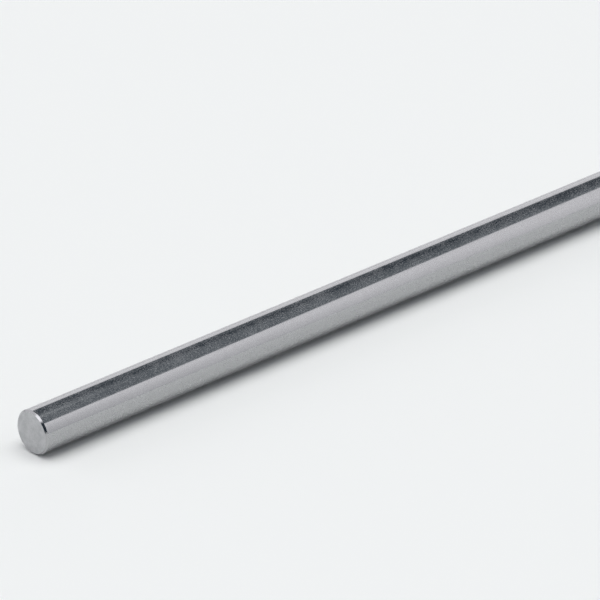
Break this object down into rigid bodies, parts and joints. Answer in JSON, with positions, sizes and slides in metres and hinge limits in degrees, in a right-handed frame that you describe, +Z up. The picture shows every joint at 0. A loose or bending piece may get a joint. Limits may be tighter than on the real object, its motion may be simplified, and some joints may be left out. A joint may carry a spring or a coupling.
{
  "type": "round steel bar",
  "caption": "Straight solid round steel bar, ground smooth along its outside, with flat faced ends and a small 45 degree chamfer around each end.",
  "frame": {"origin": "on the bar's axis, halfway along its length; the surface the bar lies on is one radius (12.5 mm) below", "axes": "+X along the bar's axis, +Z up as the bar lies, +Y across it"},
  "size_m": [0.5, 0.025, 0.025],
  "materials": {
    "ground_steel": "precision ground outside, finely turned end faces and chamfers"
  },
  "bodies": {
    "root": {"round_bar": "ground_steel"}
  },
  "joints": []
}
